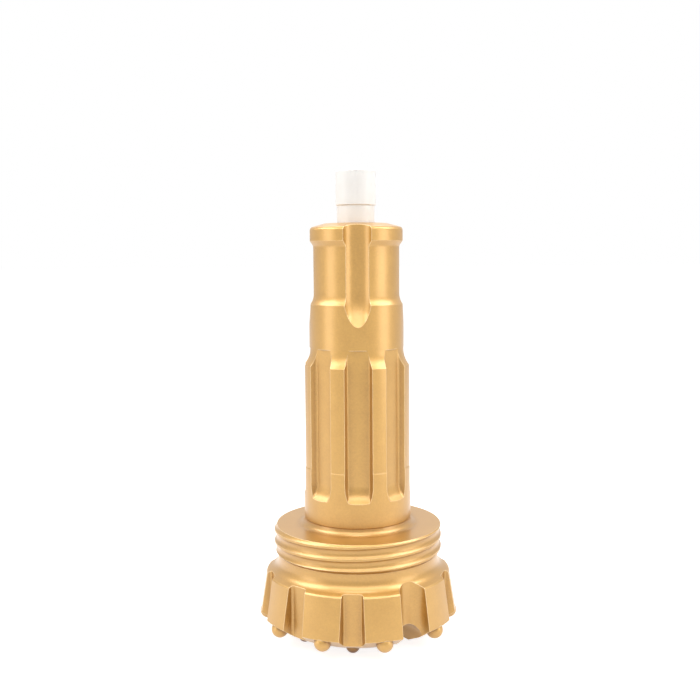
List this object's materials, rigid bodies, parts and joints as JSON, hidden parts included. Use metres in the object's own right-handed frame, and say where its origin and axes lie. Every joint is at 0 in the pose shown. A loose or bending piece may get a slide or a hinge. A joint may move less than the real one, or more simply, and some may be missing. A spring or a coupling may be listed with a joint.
{
  "type": "down-the-hole drill bit",
  "caption": "One-piece rock drill bit: a splined, grooved shank with a plastic air tube on top, a coarse-threaded shoulder, and a fluted head with domed hard-metal buttons.",
  "frame": {"origin": "centre of the circle of face button tips, on the surface that the bit stands on, which is also under the middle of its bounding box", "axes": "+Z along the shank's axis, from the face up to the air tube; -Y is the front, where one air groove and one spline valley face"},
  "size_m": [0.219, 0.2158, 0.505],
  "materials": {
    "body_paint": "satin gold paint over machined steel",
    "gauge_button_paint": "the same gold paint over hard-metal inserts",
    "face_button_paint": "the same gold paint over hard-metal inserts",
    "valve_plastic": "smooth white plastic"
  },
  "bodies": {
    "root": {"bit_body": "body_paint", "foot_valve": "valve_plastic", "gauge_button_01": "gauge_button_paint", "gauge_button_02": "gauge_button_paint", "gauge_button_03": "gauge_button_paint", "gauge_button_04": "gauge_button_paint", "gauge_button_05": "gauge_button_paint", "gauge_button_06": "gauge_button_paint", "gauge_button_07": "gauge_button_paint", "gauge_button_08": "gauge_button_paint", "gauge_button_09": "gauge_button_paint", "gauge_button_10": "gauge_button_paint", "face_button_01": "face_button_paint", "face_button_02": "face_button_paint", "face_button_03": "face_button_paint", "face_button_04": "face_button_paint", "face_button_05": "face_button_paint", "face_button_06": "face_button_paint", "face_button_07": "face_button_paint", "face_button_08": "face_button_paint", "face_button_09": "face_button_paint", "face_button_10": "face_button_paint", "face_button_11": "face_button_paint", "face_button_12": "face_button_paint"}
  },
  "joints": []
}
